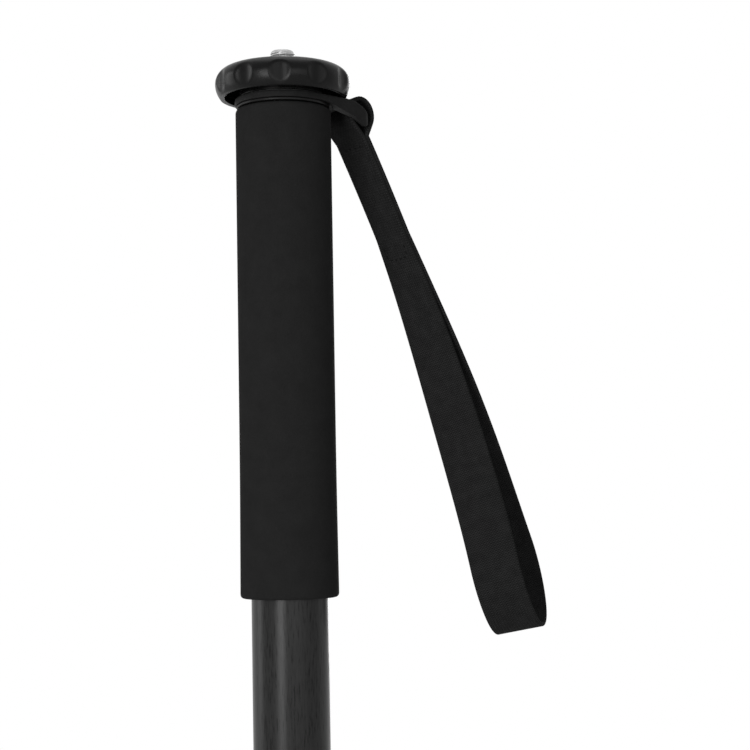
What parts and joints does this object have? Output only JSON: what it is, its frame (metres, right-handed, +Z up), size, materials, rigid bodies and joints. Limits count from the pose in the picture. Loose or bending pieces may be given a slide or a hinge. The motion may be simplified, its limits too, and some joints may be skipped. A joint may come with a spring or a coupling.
{
  "type": "camera monopod",
  "caption": "Telescopic carbon camera monopod, folded, with a scalloped thumb wheel and camera stud on top, a foam grip, a webbing wrist strap, twist locks and a rubber foot.",
  "frame": {"origin": "middle of the rubber foot's flat sole, with the monopod upright and folded", "axes": "+Z up along the tubes towards the camera stud, +X to the right as pictured and +Y away from the viewer"},
  "size_m": [0.1273, 0.0939, 0.5318],
  "materials": {
    "wheel_metal": "black anodised, satin",
    "ring_metal": "black anodised, satin",
    "lock_metal": "black anodised, satin",
    "neck_metal": "black anodised, turned",
    "plug_metal": "turned",
    "steel": "turned, bright",
    "foam": "fine closed-cell foam",
    "webbing": "ribbed nylon weave",
    "carbon": "lengthwise fibres under satin lacquer",
    "bearing_plastic": "natural, matt",
    "washer_plastic": "black, matt",
    "rubber": "moulded, matt"
  },
  "bodies": {
    "upper": {"upper_tube": "carbon", "foam_grip": "foam", "head_neck": "neck_metal", "wheel_washer": "washer_plastic", "lock_1_ferrule": "lock_metal", "lock_1_collet": "bearing_plastic"},
    "wheel": {"thumb_wheel": "wheel_metal", "platform_pad": "rubber", "camera_stud": "steel", "wheel_hub": "steel", "end_screw": "steel", "end_washer": "steel"},
    "ring": {"strap_ring": "ring_metal"},
    "strap": {"wrist_strap": "webbing"},
    "lock_1": {"lock_1_nut": "lock_metal", "lock_1_sleeve": "rubber"},
    "section_2": {"second_tube": "carbon", "second_tube_shims": "bearing_plastic", "lock_2_ferrule": "lock_metal", "lock_2_collet": "bearing_plastic"},
    "lock_2": {"lock_2_nut": "lock_metal", "lock_2_sleeve": "rubber"},
    "section_3": {"third_tube": "carbon", "third_tube_shims": "bearing_plastic", "lock_3_ferrule": "lock_metal", "lock_3_collet": "bearing_plastic"},
    "lock_3": {"lock_3_nut": "lock_metal", "lock_3_sleeve": "rubber"},
    "section_4": {"fourth_tube": "carbon", "fourth_tube_shims": "bearing_plastic", "foot_plug": "plug_metal", "foot_spike": "steel"},
    "foot": {"rubber_foot": "rubber"}
  },
  "joints": [
    {"name": "foot_pull", "type": "slide", "parent": "foot", "child": "section_4", "axis": [0, 0, 1], "range_m": [0, 0.022]},
    {"name": "section_4_slide", "type": "slide", "parent": "section_4", "child": "section_3", "axis": [0, 0, 1], "range_m": [0, 0.38]},
    {"name": "lock_3_twist", "type": "hinge", "parent": "section_3", "child": "lock_3", "pos_m": [0, 0, 0.045], "axis": [0, 0, -1], "range_deg": [0, 120]},
    {"name": "section_3_slide", "type": "slide", "parent": "section_3", "child": "section_2", "axis": [0, 0, 1], "range_m": [0, 0.34]},
    {"name": "lock_2_twist", "type": "hinge", "parent": "section_2", "child": "lock_2", "pos_m": [0, 0, 0.084], "axis": [0, 0, -1], "range_deg": [0, 120]},
    {"name": "section_2_slide", "type": "slide", "parent": "section_2", "child": "upper", "axis": [0, 0, 1], "range_m": [0, 0.3]},
    {"name": "lock_1_twist", "type": "hinge", "parent": "upper", "child": "lock_1", "pos_m": [0, 0, 0.123], "axis": [0, 0, -1], "range_deg": [0, 120]},
    {"name": "wheel_turn", "type": "hinge", "parent": "upper", "child": "wheel", "pos_m": [0, 0, 0.519], "axis": [0, 0, 1], "continuous": true},
    {"name": "ring_turn", "type": "hinge", "parent": "upper", "child": "ring", "pos_m": [0, 0, 0.5122], "axis": [0, 0, 1], "continuous": true},
    {"name": "strap_swing", "type": "hinge", "parent": "ring", "child": "strap", "pos_m": [0.02481, 0.01432, 0.5094], "axis": [0.5, -0.866, 0], "range_deg": [-15, 75]}
  ]
}
